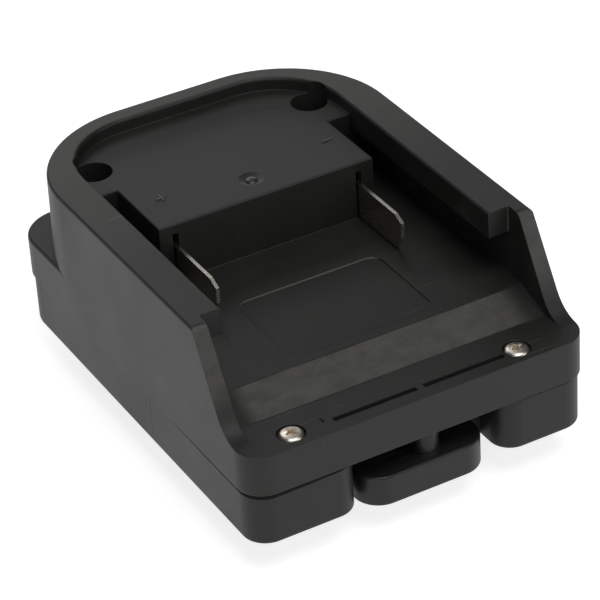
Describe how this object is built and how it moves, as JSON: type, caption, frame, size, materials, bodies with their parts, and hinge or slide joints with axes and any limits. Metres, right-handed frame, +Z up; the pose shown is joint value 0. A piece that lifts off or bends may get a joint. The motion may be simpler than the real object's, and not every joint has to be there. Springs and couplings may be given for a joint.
{
  "type": "tool battery adapter",
  "caption": "Black moulded adapter: a slide-on battery pushes onto blade terminals under two flanges on top, and a foot below slides into the tool, held by a sprung latch.",
  "frame": {"origin": "middle of the housing's outline, at the level of the foot's flat underside", "axes": "+X right seen from the front, +Y from the latch edge to the closed rear, +Z up towards the battery"},
  "size_m": [0.0808, 0.1092, 0.0506],
  "materials": {
    "black_plastic": "fine satin texture, glass-filled nylon",
    "latch_plastic": "smooth satin acetal",
    "screw_steel": "blackened steel, worn bright in the recess",
    "blade_metal": "nickel-plated, stamped",
    "contact_metal": "plain stamped bronze",
    "spring_steel": "drawn wire",
    "inner_plastic": "plain moulded",
    "red_insulation": "silicone sleeve",
    "black_insulation": "silicone sleeve",
    "board_laminate": "glass laminate with green lacquer",
    "component_plastic": "shrunk sleeve over a metal can",
    "sleeve_plastic": "shrunk tube"
  },
  "bodies": {
    "root": {"top_housing": "black_plastic", "bottom_housing": "black_plastic", "front_screws": "screw_steel", "rear_screws": "screw_steel", "retainer_screws": "screw_steel", "carrier_screws": "screw_steel", "blade_positive": "blade_metal", "blade_negative": "blade_metal", "contact_positive": "contact_metal", "contact_negative": "contact_metal", "latch_spring_left": "spring_steel", "latch_spring_right": "spring_steel", "blade_retainer": "inner_plastic", "contact_carrier": "inner_plastic", "wire_positive": "red_insulation", "wire_negative_in": "black_insulation", "wire_negative_out": "black_insulation", "wire_sleeves": "sleeve_plastic", "circuit_board": "board_laminate", "board_screws": "screw_steel", "board_switches": "inner_plastic", "board_capacitor": "component_plastic"},
    "latch": {"latch_button": "latch_plastic"}
  },
  "joints": [
    {"name": "latch_press", "type": "slide", "parent": "root", "child": "latch", "axis": [0, 0, 1], "range_m": [0, 0.0045], "stiffness_N_per_m": 1200, "springref_m": -0.004, "deforming": ["latch_spring_left", "latch_spring_right"]}
  ]
}
